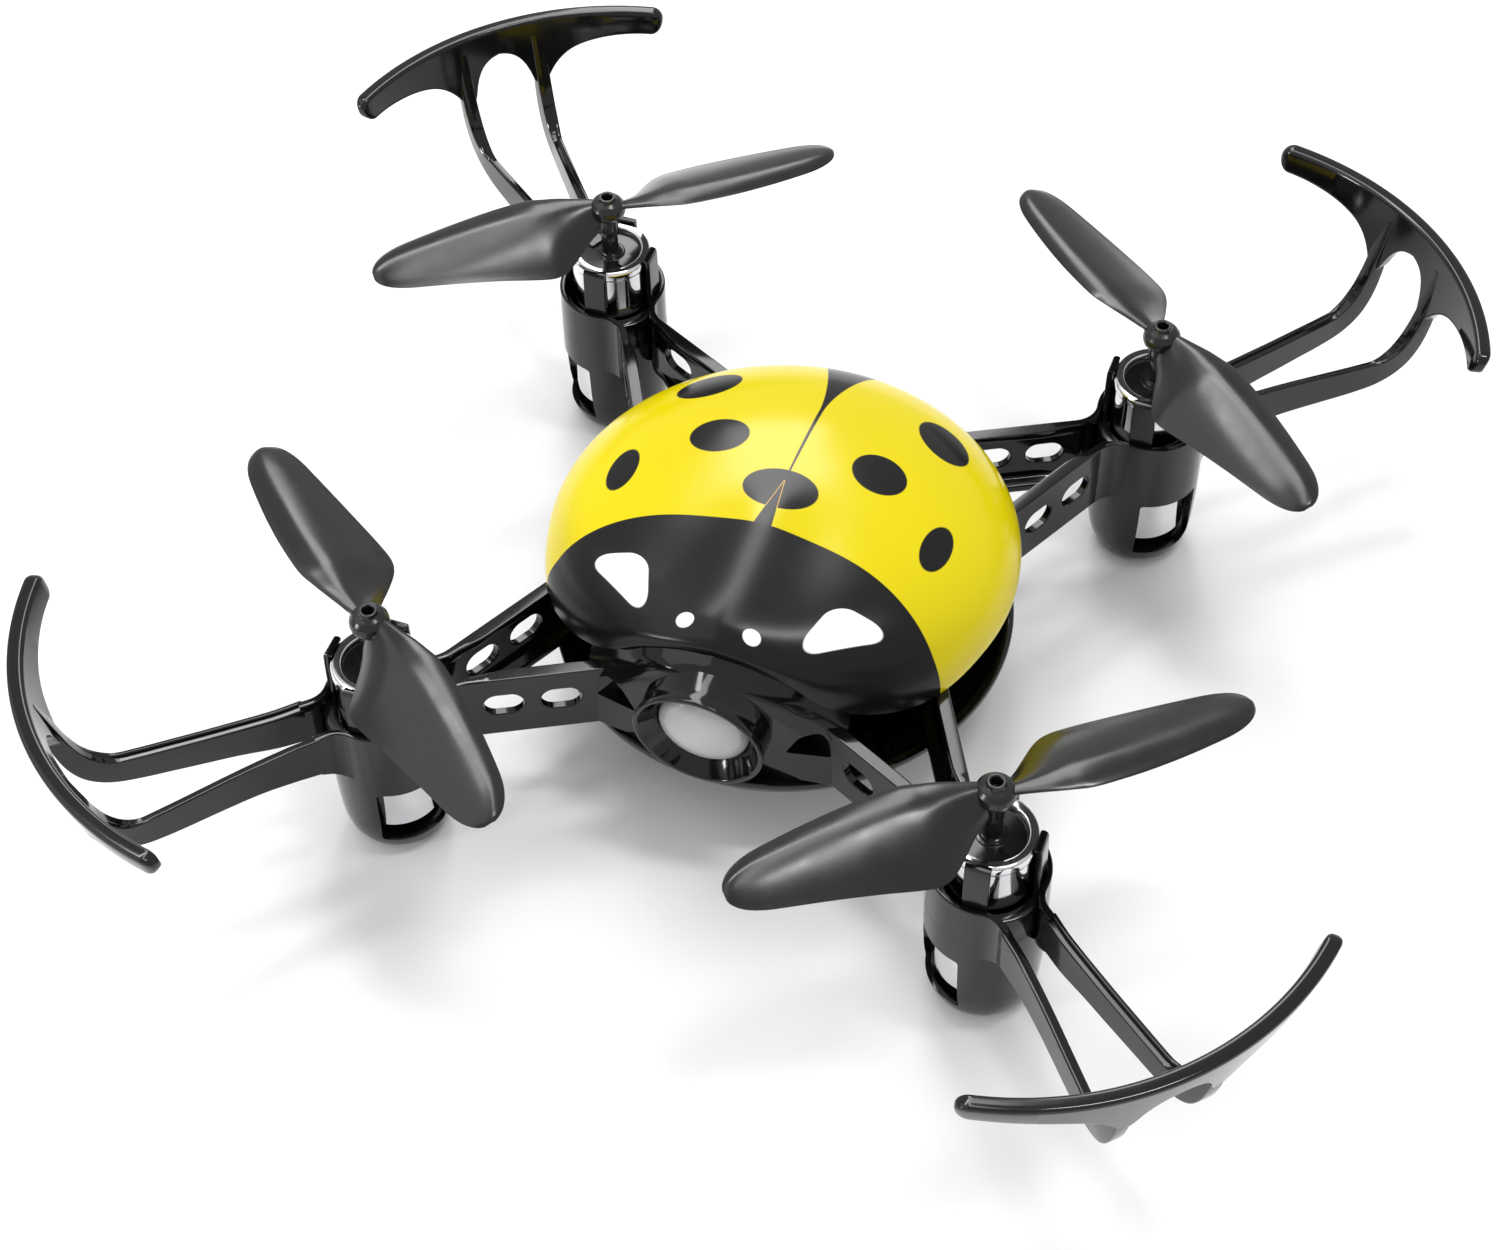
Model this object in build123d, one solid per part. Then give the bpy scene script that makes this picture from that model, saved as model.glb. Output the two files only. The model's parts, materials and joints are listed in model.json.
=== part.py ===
from build123d import *
from math import asin, atan2, cos, degrees, pi, radians, sin, sqrt
import os

# Mini palm drone. Millimetres, +Z up, front of the drone faces -Y.
# The origin is on the ground plane, midway between the four motors.

# Driving dimensions
MOTOR_HALF = 25.0          # half the motor spacing along X and along Y
PROP_RADIUS = 21.5
HUB_TOP_Z = 25.8
RAIL_TOP_Z = 15.7
RAIL_BOTTOM_Z = 9.0
STRIP = 0.7                # thickness of the frame's upright strips
CUP_NECK_R = 4.17          # the cup's neck sits inside the collar
COLLAR_BORE_R = 4.2
CUP_R = 4.57
CUP_FOOT_R = 4.42
CUP_BORE_R = 3.65
CUP_RIM_Z = 14.6
CUP_FLOOR = 1.6
CAN_R = 3.5
CUP_SILL_Z = 2.2            # lower edge of the cup's windows
CAN_BASE_Z = 3.1
CAN_TOP_Z = 20.0
SHAFT_R = 0.5
GUARD_START = 6.3          # distance from the motor axis where the guard begins
GUARD_BAR_R = 26.35
GUARD_BAR_SHIFT = 1.0
GUARD_HALF_ANGLE = 34.8
GUARD_TOP_Z = 26.0
GUARD_BAR_T = 1.25
CANOPY_R = 19.6
CANOPY_BASE_Z = 16.0
CANOPY_RISE = 7.3
CANOPY_WALL = 1.0
CANOPY_LOW_Z = 15.9
CANOPY_FRONT_Y = -16.9
TRAY_R = 19.4
TRAY_BOTTOM_Z = 5.4
TRAY_RIM_Z = 8.8
TRAY_WALL = 1.0
LUG_TOP_Z = 12.2
BOARD_Z = 13.6
BOARD_T = 0.8
BARREL_Y = -20.9
BARREL_Z = 14.9
BARREL_TILT = 8.0
BARREL_LIP_R = 5.4
BARREL_R = 4.7
LENS_R = 3.6
SCREWS = [(-9.9, -8.4), (9.9, -8.4), (-9.4, 9.6), (9.4, 9.6)]
CANOPY_SCREWS = [(-10.2, 2.0), (10.2, 2.0)]
SWITCH_Y = 12.4

CORNERS = {
    "front_left": (-1, -1),
    "front_right": (1, -1),
    "rear_right": (1, 1),
    "rear_left": (-1, 1),
}
# +1 turns anticlockwise seen from above; neighbours turn opposite ways
SPIN = {"front_left": 1, "front_right": -1, "rear_right": 1, "rear_left": -1}
BLADE_LINE = {"front_left": 140.1, "front_right": 41.1, "rear_right": 138.5, "rear_left": 39.7}

COLLAR_R = COLLAR_BORE_R + STRIP / 2

os.makedirs("parts", exist_ok=True)


def save(name, shape):
    solids = shape.solids()
    kept = solids[0] if len(solids) == 1 else Compound(children=list(solids))
    export_step(kept, "parts/" + name + ".step")


def tube(radius, bore, low, high):
    ring = Cylinder(radius, high - low, align=(Align.CENTER, Align.CENTER, Align.MIN))
    hole = Cylinder(bore, high - low, align=(Align.CENTER, Align.CENTER, Align.MIN))
    return Pos(0, 0, low) * (ring - hole)


def rod(radius, low, high):
    return Pos(0, 0, low) * Cylinder(radius, high - low, align=(Align.CENTER, Align.CENTER, Align.MIN))


def block(x0, x1, y0, y1, z0, z1):
    solid = Box(x1 - x0, y1 - y0, z1 - z0, align=(Align.MIN, Align.MIN, Align.MIN))
    return Pos(x0, y0, z0) * solid


def turned(points, arc=360):
    """Solid of revolution about Z from (radius, height) corners."""
    outline = make_face(Polyline(*[(r, 0, z) for r, z in points], close=True))
    return revolve(outline, Axis.Z, arc)


def at_corner(shape, corner):
    """Moves a shape drawn with +X pointing outward along the arm to one motor."""
    sx, sy = CORNERS[corner]
    angle = degrees(atan2(sy, sx))
    return Pos(sx * MOTOR_HALF, sy * MOTOR_HALF, 0) * Rot(0, 0, angle) * shape


def strip_path(start, end, bend):
    """A straight run from start to end, then an arc that blends into the collar circle.

    Returns the run's last point, the arc's middle point, its last point and that point's angle.
    """
    run = Vector(end[0] - start[0], end[1] - start[1])
    along = run.normalized()
    side = Vector(-along.Y, along.X)
    if side.Y < 0:
        side = side * -1
    base = Vector(*start) + side * bend
    reach = COLLAR_R + bend
    b = base.dot(along)
    root = sqrt(b * b - (base.dot(base) - reach * reach))
    near = min((-b - root, -b + root), key=lambda t: (base + along * t - Vector(*end)).length)
    centre = base + along * near
    leave = centre - side * bend
    join = centre * (COLLAR_R / reach)
    middle = centre + (leave - centre + join - centre).normalized() * bend
    return leave, middle, join, degrees(atan2(join.Y, join.X))


# ---------------------------------------------------------------- frame arms
ARM_START = (-23.2, 7.06)
ARM_END = (-7.7, 2.1)
ARM_BEND = 2.6
STUB_START = (GUARD_START, 1.85)
STUB_END = (5.2, 1.74)
STUB_BEND = 2.4
STUB_BOTTOM_Z = 11.4


def arm_strip():
    """Upright strip on one side of an arm: rail, blend, collar arc, blend, guard stub."""
    leave, middle, join, angle_in = strip_path(ARM_START, ARM_END, ARM_BEND)
    leave2, middle2, join2, angle_out = strip_path(STUB_START, STUB_END, STUB_BEND)
    top = radians((angle_in + angle_out) / 2)
    path = Wire([
        Edge.make_line(Vector(*ARM_START), leave),
        Edge.make_three_point_arc(leave, middle, join),
        Edge.make_three_point_arc(join, Vector(COLLAR_R * cos(top), COLLAR_R * sin(top)), join2),
        Edge.make_three_point_arc(join2, middle2, leave2),
        Edge.make_line(leave2, Vector(*STUB_START)),
    ])
    plan = trace(path.edges(), STRIP)
    web = extrude(Pos(0, 0, RAIL_BOTTOM_Z) * plan, amount=RAIL_TOP_Z - RAIL_BOTTOM_Z)
    rail = Wire([Edge.make_line(Vector(*ARM_START), leave)])
    run = (leave - Vector(*ARM_START)).normalized()
    inward = Vector(-run.Y, run.X) * 0.45
    if inward.Y > 0:
        inward = inward * -1
    flange_plan = Pos(inward.X, inward.Y, 0) * trace(rail.edges(), STRIP)
    web += extrude(Pos(0, 0, RAIL_BOTTOM_Z) * flange_plan, amount=1.7)
    web += extrude(Pos(0, 0, RAIL_TOP_Z - 0.7) * flange_plan, amount=0.7)
    turn = degrees(atan2(run.Y, run.X))
    for u in (-9.1, -13.5):
        t = (u - ARM_START[0]) / (ARM_END[0] - ARM_START[0])
        v = ARM_START[1] + t * (ARM_END[1] - ARM_START[1])
        slot = extrude(Rot(90, 0, 0) * SlotOverall(3.7, 2.5), amount=2.0, both=True)
        web -= Pos(u, v, 12.6) * Rot(0, 0, turn) * slot
    stub_trim = block(GUARD_START, 12, -4, 4, RAIL_BOTTOM_Z - 1, RAIL_TOP_Z + 1)
    stub_trim += block(4.4, 12, -4, 4, RAIL_BOTTOM_Z - 1, STUB_BOTTOM_Z)
    return web - stub_trim


def arm():
    side = arm_strip()
    return side + mirror(side, Plane.XZ)


# ---------------------------------------------------------------- guards
def guard_rail():
    """One guard rail: plan strip cut by the side profile that turns it upward."""
    line = Wire([Edge.make_line(Vector(GUARD_START, 1.85), Vector(29.0, 4.12))])
    plan = extrude(Pos(0, 0, 5) * trace(line.edges(), 0.9), amount=22)
    side = make_face([
        Line((GUARD_START, RAIL_TOP_Z), (20.6, RAIL_TOP_Z)),
        Spline((20.6, RAIL_TOP_Z), (23.0, 17.8), (24.3, 21.0), (25.6, 25.0), tangents=((1, 0), (0.2, 1))),
        Line((25.6, 25.0), (26.9, 25.0)),
        Spline((26.9, 25.0), (25.0, 18.6), (23.4, 15.4), (20.4, 13.7), (11.5, 12.6), (GUARD_START, STUB_BOTTOM_Z),
               tangents=((-0.25, -1), (-1, -0.4))),
        Line((GUARD_START, STUB_BOTTOM_Z), (GUARD_START, RAIL_TOP_Z)),
    ])
    profile = extrude(Rot(90, 0, 0) * side, amount=8, both=True)
    return plan & profile


def guard_bar():
    """Arc bar that leans outward, cut to its rounded front outline with flared stems."""
    lean = 1.55
    low = 18.6
    radius = GUARD_BAR_R
    drop = lean * (GUARD_TOP_Z - low) / 6.5
    shell = make_face(Polyline(
        (radius, 0, GUARD_TOP_Z),
        (radius - drop, 0, low),
        (radius - drop - GUARD_BAR_T, 0, low),
        (radius - GUARD_BAR_T, 0, GUARD_TOP_Z),
        close=True,
    ))
    half = GUARD_HALF_ANGLE
    sector = revolve(Rot(0, 0, -half) * shell, Axis.Z, 2 * half)
    end_v = radius * sin(radians(half))
    bar_low = 23.6
    mid_low = 22.9
    stem_out = 4.6
    stem_in = 3.1
    outline = make_face([
        Line((-end_v, GUARD_TOP_Z), (end_v, GUARD_TOP_Z)),
        Line((end_v, GUARD_TOP_Z), (end_v, bar_low)),
        Line((end_v, bar_low), (10.0, bar_low - 0.2)),
        Spline((10.0, bar_low - 0.2), (6.6, 22.4), (stem_out, 18.6), tangents=((-1, -0.1), (-0.1, -1))),
        Line((stem_out, 18.6), (stem_in, 18.6)),
        Spline((stem_in, 18.6), (2.5, 21.8), (0.0, mid_low), tangents=((0, 1), (-1, 0))),
        Spline((0.0, mid_low), (-2.5, 21.8), (-stem_in, 18.6), tangents=((-1, 0), (0, -1))),
        Line((-stem_in, 18.6), (-stem_out, 18.6)),
        Spline((-stem_out, 18.6), (-6.6, 22.4), (-10.0, bar_low - 0.2), tangents=((-0.1, 1), (-1, 0.1))),
        Line((-10.0, bar_low - 0.2), (-end_v, bar_low)),
        Line((-end_v, bar_low), (-end_v, GUARD_TOP_Z)),
    ])
    front = extrude(Plane.YZ * outline, amount=40)
    return Pos(GUARD_BAR_SHIFT, 0, 0) * (sector & front)


def guard():
    rail = guard_rail()
    return guard_bar() + rail + mirror(rail, Plane.XZ)


# ---------------------------------------------------------------- motor pod
def cup():
    body = turned([
        (0, 0), (2.4, 0), (3.7, 0.7), (4.3, 2.0), (CUP_FOOT_R, 3.4), (CUP_R, RAIL_BOTTOM_Z),
        (CUP_NECK_R, RAIL_BOTTOM_Z), (CUP_NECK_R, CUP_RIM_Z), (CUP_BORE_R, CUP_RIM_Z),
        (CUP_BORE_R, CUP_FLOOR), (0, CUP_FLOOR),
    ])
    body -= block(-2.8, 2.8, -6, 6, CUP_SILL_Z, RAIL_BOTTOM_Z - 0.3)
    body += rod(2.2, CUP_FLOOR - 0.1, CAN_BASE_Z)
    hook = block(CUP_BORE_R, CUP_BORE_R + 0.5, -1.0, 1.0, CUP_RIM_Z - 0.4, CAN_TOP_Z + 0.6)
    hook += block(CUP_BORE_R - 0.6, CUP_BORE_R + 0.5, -1.0, 1.0, CAN_TOP_Z + 0.1, CAN_TOP_Z + 0.6)
    for turn in (45, 135, 225, 315):
        body += Rot(0, 0, turn) * hook & rod(CUP_NECK_R, 0, 30)
    return body


def can():
    return turned([
        (CAN_R - 0.3, CAN_BASE_Z), (CAN_R, CAN_BASE_Z + 0.3), (CAN_R, CAN_TOP_Z - 0.35),
        (CAN_R - 0.35, CAN_TOP_Z), (CAN_R - 0.7, CAN_TOP_Z), (CAN_R - 0.7, 18.6),
        (CAN_R - 0.3, 18.6), (CAN_R - 0.3, CAN_BASE_Z + 0.5), (0.9, CAN_BASE_Z + 0.5),
        (0.9, CAN_BASE_Z),
    ])


def endcap():
    cap = turned([
        (SHAFT_R + 0.05, 18.6), (CAN_R - 0.7, 18.6), (CAN_R - 0.7, 19.4), (1.25, 19.4), (1.25, 19.5),
        (0.95, 19.5), (0.8, 19.7), (0.8, 21.9), (SHAFT_R + 0.05, 21.9),
    ])
    for turn in (0, 90, 180, 270):
        cap -= Rot(0, 0, turn) * block(2.1, 3.2, -0.55, 0.55, 19.0, 20.4)
    return cap


def magnet():
    low = CAN_BASE_Z + 0.5
    return turned([(0.8, low), (2.0, low), (2.0, 4.0), (2.2, 4.0), (2.2, 15.6), (0.8, 15.6)])


def winding():
    return turned([
        (SHAFT_R, 16.2), (2.5, 16.2), (2.5, 4.6), (2.9, 4.6), (2.9, 17.2), (1.3, 17.2),
        (1.3, 18.0), (SHAFT_R, 18.0),
    ])


def shaft():
    return rod(SHAFT_R, CAN_BASE_Z + 0.9, 24.4)


def blade():
    """Twisted blade along +X for the anticlockwise propellers, flat facets between its stations."""
    stations = [  # distance out, leading edge, trailing edge, thickness, pitch
        (1.0, 1.2, -1.6, 1.2, 46.0),
        (3.5, 2.1, -3.3, 0.9, 38.0),
        (6.6, 2.75, -4.8, 0.75, 28.0),
        (11.0, 2.75, -4.1, 0.62, 20.0),
        (16.0, 2.2, -3.25, 0.5, 14.0),
        (19.5, 1.6, -2.6, 0.42, 12.0),
        (20.9, 0.6, -1.8, 0.36, 11.0),
        (PROP_RADIUS, -0.2, -1.0, 0.3, 10.0),
    ]
    outline = [
        (0.5, 0.0), (0.38, 0.42), (0.1, 0.5), (-0.25, 0.38),
        (-0.5, 0.1), (-0.5, -0.1), (-0.1, -0.5), (0.35, -0.5),
    ]
    sections = []
    for x, lead, trail, thick, pitch in stations:
        plane = Plane(origin=(x, 0, HUB_TOP_Z - 1.4), x_dir=(0, 1, 0), z_dir=(1, 0, 0))
        chord = (lead - trail) / cos(radians(pitch))
        middle = (lead + trail) / 2 / cos(radians(pitch))
        points = [(middle + u * chord, v * thick) for u, v in outline]
        sections.append(plane * Rot(0, 0, pitch) * Polygon(*points, align=None))
    return loft(sections, ruled=True)


def propeller():
    hub = turned([
        (SHAFT_R, 22.1), (0.85, 22.1), (0.85, 23.7), (1.45, 24.0), (1.6, 24.4), (1.6, 25.0),
        (1.3, 25.5), (0.75, HUB_TOP_Z), (0.42, HUB_TOP_Z), (0.42, 24.9), (0, 24.9), (0, 24.4), (SHAFT_R, 24.4),
    ])
    one = blade()
    pair = one + Rot(0, 0, 180) * one
    pair = pair - rod(SHAFT_R, 20.0, 24.4) - rod(0.42, 24.9, 27.0)
    return hub + pair


# ---------------------------------------------------------------- body
def spheroid(radius, rise, base, low):
    """Upper part of an oblate spheroid, from height low upward."""
    steps = 24
    start = asin((low - base) / rise)
    points = []
    for i in range(steps + 1):
        a = start + (pi / 2 - start) * i / steps
        points.append((radius * cos(a), 0, base + rise * sin(a)))
    curve = Spline(*points)
    foot = Line((0, 0, low), points[0])
    spine = Line(points[-1], (0, 0, low))
    return revolve(make_face([foot, curve, spine]), Axis.Z)


def nose(inset):
    """Raised front of the canopy, a flattened ellipsoid."""
    ball = scale(Sphere(1), by=(9.0 - inset, 14.0 - inset, CANOPY_RISE - 0.1 - inset))
    lump = Pos(0, -8.5, CANOPY_BASE_Z) * ball
    return lump & block(-12, 12, -30, 5, CANOPY_LOW_Z, 30)


def canopy():
    low = CANOPY_LOW_Z
    outer = spheroid(CANOPY_R, CANOPY_RISE, CANOPY_BASE_Z, low) + nose(0)
    inner = spheroid(CANOPY_R - CANOPY_WALL, CANOPY_RISE - CANOPY_WALL, CANOPY_BASE_Z, low - 0.01)
    inner += nose(CANOPY_WALL)
    front = block(-30, 30, -40, CANOPY_FRONT_Y, 0, 40)
    shell = outer - inner - front
    for x, y in CANOPY_SCREWS:
        post = Pos(x, y, 0) * rod(1.5, LUG_TOP_Z, 26.0)
        post = post & (spheroid(CANOPY_R - 0.5, CANOPY_RISE - 0.5, CANOPY_BASE_Z, CANOPY_LOW_Z)
                       + rod(12, LUG_TOP_Z, CANOPY_LOW_Z))
        shell += post - Pos(x, y, 0) * rod(0.55, 12.0, 19.0)
    return shell


def tray():
    bowl = turned([
        (0, TRAY_BOTTOM_Z), (15.6, TRAY_BOTTOM_Z), (17.4, 5.9), (18.8, 7.0), (TRAY_R, 8.3), (TRAY_R, TRAY_RIM_Z),
        (TRAY_R - TRAY_WALL, TRAY_RIM_Z), (18.3, 8.4), (17.6, 7.4), (16.4, 6.7), (15.2, TRAY_BOTTOM_Z + TRAY_WALL),
        (0, TRAY_BOTTOM_Z + TRAY_WALL),
    ])
    for x, y in SCREWS:
        bowl -= Pos(x, y, 0) * rod(0.75, 4, 8)
        bowl -= Pos(x, y, 0) * rod(1.35, 4, TRAY_BOTTOM_Z + 0.55)
    bowl -= block(-2.6, 2.6, SWITCH_Y - 0.9, SWITCH_Y + 0.9, 4, 8)
    for turn in (-20, 200):
        slot = block(17.0, 20.0, -1.9, 1.9, 7.0, 8.2)
        bowl -= Rot(0, 0, turn) * slot
    return bowl


def along_barrel(shape):
    """Places a shape drawn along +Z onto the barrel's axis, its +Z end facing the front."""
    return Pos(0, BARREL_Y, BARREL_Z) * Rot(90 + BARREL_TILT, 0, 0) * shape


def fascia_plan(thickness):
    """Front wall in plan: a shallow bow between the inner ends of the front arms' outer rails."""
    bow = ThreePointArc((-11.4, -15.6), (0, -16.3), (11.4, -15.6))
    return trace(bow, thickness)


def fascia():
    """Front wall; above the canopy's edge it stays inside the canopy's inner surface."""
    gap = CANOPY_WALL + 0.12
    under = spheroid(CANOPY_R - gap, CANOPY_RISE - gap, CANOPY_BASE_Z, CANOPY_LOW_Z) + nose(gap)
    under += block(-30, 30, -30, 0, 0, CANOPY_LOW_Z)
    under -= block(-30, 30, -30, 30, CANOPY_LOW_Z - 0.12, CANOPY_LOW_Z) - rod(CANOPY_R - gap, 10, 20)
    wall = extrude(Pos(0, 0, RAIL_BOTTOM_Z) * fascia_plan(1.0), amount=14)
    wall = wall & under
    wall -= along_barrel(rod(BARREL_R, -9.0, 3.0))
    for side in (-1, 1):
        wall -= Pos(side * 8.2, -17, 11.4) * Rot(90, 0, 0) * Cylinder(1.2, 6)
    return wall


def main_frame():
    ring = tube(14.6, 13.5, RAIL_BOTTOM_Z, LUG_TOP_Z)
    deck = tube(14.6, 11.3, RAIL_BOTTOM_Z, 10.0)
    body = ring + deck + fascia()
    clear = rod(13.6, 9.6, 20) + rod(11.3, 5, 20)
    for corner in CORNERS:
        body += at_corner(arm(), corner) - clear
    for x, y in SCREWS:
        body += Pos(x, y, 0) * rod(1.6, TRAY_BOTTOM_Z + TRAY_WALL, BOARD_Z)
    for x, y in CANOPY_SCREWS:
        body += Pos(x, y, 0) * rod(2.0, 10.0, LUG_TOP_Z)
        body += link(x, y)
        body -= Pos(x, y, 0) * rod(0.6, 8, 13)
        body -= Pos(x, y, 0) * rod(1.35, 8, 10.9)
    for x, y in SCREWS:
        body -= Pos(x, y, 0) * rod(0.55, 4, 11.4)
    body -= along_barrel(rod(BARREL_R, -9.0, 3.0))
    body -= block(-3.9, 3.9, 10.0, 20, 10.4, 20)
    return body


def link(x, y):
    """Web that ties a canopy screw lug to the ring."""
    reach = sqrt(x * x + y * y)
    bar = block(reach - 0.5, 13.8, -1.0, 1.0, 10.0, LUG_TOP_Z)
    return Rot(0, 0, degrees(atan2(y, x))) * bar


def barrel():
    return along_barrel(turned([
        (BARREL_R, -6.6), (BARREL_R, -2.2), (BARREL_LIP_R, -0.4), (BARREL_LIP_R, 0), (BARREL_LIP_R - 0.35, 0),
        (4.2, -1.7), (LENS_R + 0.05, -2.4), (LENS_R + 0.05, -5.2), (3.0, -5.2), (3.0, -6.6),
    ]))


def lens():
    return along_barrel(turned([
        (0, -5.2), (LENS_R, -5.2), (LENS_R, -2.9), (3.3, -2.1), (2.6, -1.4), (1.6, -0.95), (0, -0.75),
    ]))


def board():
    plate = block(-10.5, 10.5, -8.5, 12.4, BOARD_Z, BOARD_Z + BOARD_T)
    plate += block(-6.5, 6.5, -12.0, -8.5, BOARD_Z, BOARD_Z + BOARD_T)
    for x, y in CANOPY_SCREWS:
        plate -= Pos(x, y, 0) * rod(1.9, 12, 16)
    return plate


def chips():
    parts = [
        block(-3.0, 3.0, -2.5, 3.5, 14.4, 15.3),
        block(-7.6, -4.6, -6.6, -3.6, 14.4, 15.1),
        block(4.4, 7.4, -3.4, -0.2, 14.4, 15.6),
        block(4.2, 7.4, 1.6, 3.0, 14.4, 15.5),
    ]
    for x in (-9.8, 8.2):
        parts.append(block(x, x + 1.6, -7.6, -6.2, 14.4, 15.0))
        parts.append(block(x, x + 1.6, 7.0, 8.4, 14.4, 15.0))
    return Compound(children=parts)


def battery():
    low = TRAY_BOTTOM_Z + TRAY_WALL
    cell = block(-7.0, 7.0, -8.4, 7.8, low, low + 5.8)
    return fillet(cell.edges().filter_by(Axis.Y), 1.6)


def screw(x, y, low, high):
    head = rod(1.15, low, low + 0.55) - block(-0.9, 0.9, -0.15, 0.15, low - 1, low + 0.25)
    return Pos(x, y, 0) * (head + rod(0.5, low + 0.55, high))


# ---------------------------------------------------------------- write the nodes
CUP = cup()
CAN = can()
ENDCAP = endcap()
MAGNET = magnet()
WINDING = winding()
SHAFT = shaft()
GUARD = guard()
PROPELLER = {1: propeller(), -1: mirror(propeller(), Plane.XZ)}
for corner in CORNERS:
    save("motor_cup_" + corner, at_corner(CUP, corner))
    save("prop_guard_" + corner, at_corner(GUARD, corner))
    save("motor_can_" + corner, at_corner(CAN, corner))
    save("motor_endcap_" + corner, at_corner(ENDCAP, corner))
    save("motor_magnet_" + corner, at_corner(MAGNET, corner))
    save("motor_winding_" + corner, at_corner(WINDING, corner))
    save("motor_shaft_" + corner, at_corner(SHAFT, corner))
    x, y = [c * MOTOR_HALF for c in CORNERS[corner]]
    save("propeller_" + corner, Pos(x, y, 0) * Rot(0, 0, BLADE_LINE[corner]) * PROPELLER[SPIN[corner]])

save("canopy", canopy())
save("main_frame", main_frame())
save("bottom_tray", tray())
save("lens_barrel", barrel())
save("headlamp_lens", lens())
save("main_board", board())
save("board_chips", chips())
save("battery", battery())
save("battery_socket", block(-2.2, 2.2, 8.4, 11.0, 14.4, 17.0) - block(-1.7, 1.7, 8.0, 10.4, 14.9, 16.6))
save("battery_plug", block(-1.65, 1.65, 6.4, 10.35, 14.95, 16.55))
save("headlamp_led", along_barrel(rod(2.0, -6.6, -5.6) + rod(0.7, -8.6, -6.6)))
save("power_switch", block(-4.2, 4.2, SWITCH_Y - 1.7, SWITCH_Y + 1.7, 6.4, 8.9)
     - block(-2.6, 2.6, SWITCH_Y - 0.9, SWITCH_Y + 0.9, 6.0, 7.9))
save("switch_slider", block(-2.4, 0.2, SWITCH_Y - 0.75, SWITCH_Y + 0.75, 6.5, 7.7)
     + block(-1.8, -0.4, SWITCH_Y - 0.6, SWITCH_Y + 0.6, 4.6, 6.5))
save("charge_socket", block(-3.7, 3.7, 11.0, 16.0, 11.0, 13.6) - block(-3.2, 3.2, 12.0, 17.0, 11.5, 13.1))
save("tray_screws", Compound(children=[screw(x, y, TRAY_BOTTOM_Z, 10.6).solid() for x, y in SCREWS]))
save("canopy_screws", Compound(children=[screw(x, y, 10.35, 18.2).solid() for x, y in CANOPY_SCREWS]))
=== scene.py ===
import json
import math

import bmesh
import bpy
from mathutils import Matrix, Vector


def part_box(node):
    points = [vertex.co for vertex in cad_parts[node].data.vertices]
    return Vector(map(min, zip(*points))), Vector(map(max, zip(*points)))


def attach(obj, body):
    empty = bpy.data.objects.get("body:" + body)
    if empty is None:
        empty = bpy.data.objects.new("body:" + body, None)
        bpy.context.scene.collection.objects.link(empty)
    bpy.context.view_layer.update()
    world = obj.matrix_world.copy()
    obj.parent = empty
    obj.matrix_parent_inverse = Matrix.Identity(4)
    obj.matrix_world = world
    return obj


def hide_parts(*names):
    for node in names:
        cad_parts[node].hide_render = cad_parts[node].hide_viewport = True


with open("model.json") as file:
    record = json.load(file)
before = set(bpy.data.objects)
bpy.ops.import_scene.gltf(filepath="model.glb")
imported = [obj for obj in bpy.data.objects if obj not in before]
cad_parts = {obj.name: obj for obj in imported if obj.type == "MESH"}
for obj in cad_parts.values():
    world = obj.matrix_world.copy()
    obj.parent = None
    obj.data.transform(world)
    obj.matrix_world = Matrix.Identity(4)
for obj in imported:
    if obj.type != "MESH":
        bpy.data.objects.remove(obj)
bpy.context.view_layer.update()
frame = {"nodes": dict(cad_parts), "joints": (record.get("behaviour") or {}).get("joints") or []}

MM = 0.001
CORNERS = ("front_left", "front_right", "rear_right", "rear_left")
AXIS = {j["child"]: Vector(j["pos_m"]) for j in frame["joints"] if j["type"] == "hinge"}
# Hand of each propeller, and the direction of its blades at rest in degrees from +X.
SPIN = {"front_left": 1, "front_right": -1, "rear_right": 1, "rear_left": -1}
BLADE_LINE = {"front_left": 140.1, "front_right": 41.1, "rear_right": 138.5, "rear_left": 39.7}


def height(node, end):
    """Lowest (0) or highest (1) level of a CAD node in millimetres."""
    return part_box(node)[end].z / MM


def half_width(node):
    low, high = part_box(node)
    return (high.x - low.x) / 2 / MM


RAIL_LOW = 9.0
RAIL_TOP = 15.7
CAN_R = half_width("motor_can_front_left")
CAN_LOW = height("motor_can_front_left", 0)
CAN_TOP = height("motor_can_front_left", 1)
TRAY_R = half_width("bottom_tray")
TRAY_LOW = height("bottom_tray", 0)
TRAY_TOP = height("bottom_tray", 1)
CANOPY_R = half_width("canopy")
HUB_TOP = height("propeller_front_left", 1)
GUARD_TOP = height("prop_guard_front_left", 1)


# ------------------------------------------------------------------ mesh helpers
SHARP_ANGLE = 31.5  # an edge of a cut or joined mesh that turns more than this stays sharp


def corner_matrix(corner):
    """Local +X points outward along the arm, the origin is on the motor's axis at ground level."""
    axis = AXIS["rotor_" + corner]
    turn = Matrix.Rotation(math.atan2(axis.y, axis.x), 4, "Z")
    return Matrix.Translation((axis.x, axis.y, 0)) @ turn


def make_piece(name, verts, faces, smooth_angle=35.0):
    """Mesh object from points in millimetres."""
    mesh = bpy.data.meshes.new(name)
    mesh.from_pydata([Vector(v) * MM for v in verts], [], faces)
    work = bmesh.new()
    work.from_mesh(mesh)
    bmesh.ops.remove_doubles(work, verts=work.verts, dist=1e-7)
    bmesh.ops.recalc_face_normals(work, faces=work.faces)
    work.to_mesh(mesh)
    work.free()
    mesh.shade_smooth()
    mesh.set_sharp_from_angle(angle=math.radians(smooth_angle))
    obj = bpy.data.objects.new(name, mesh)
    bpy.context.scene.collection.objects.link(obj)
    return obj


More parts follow.
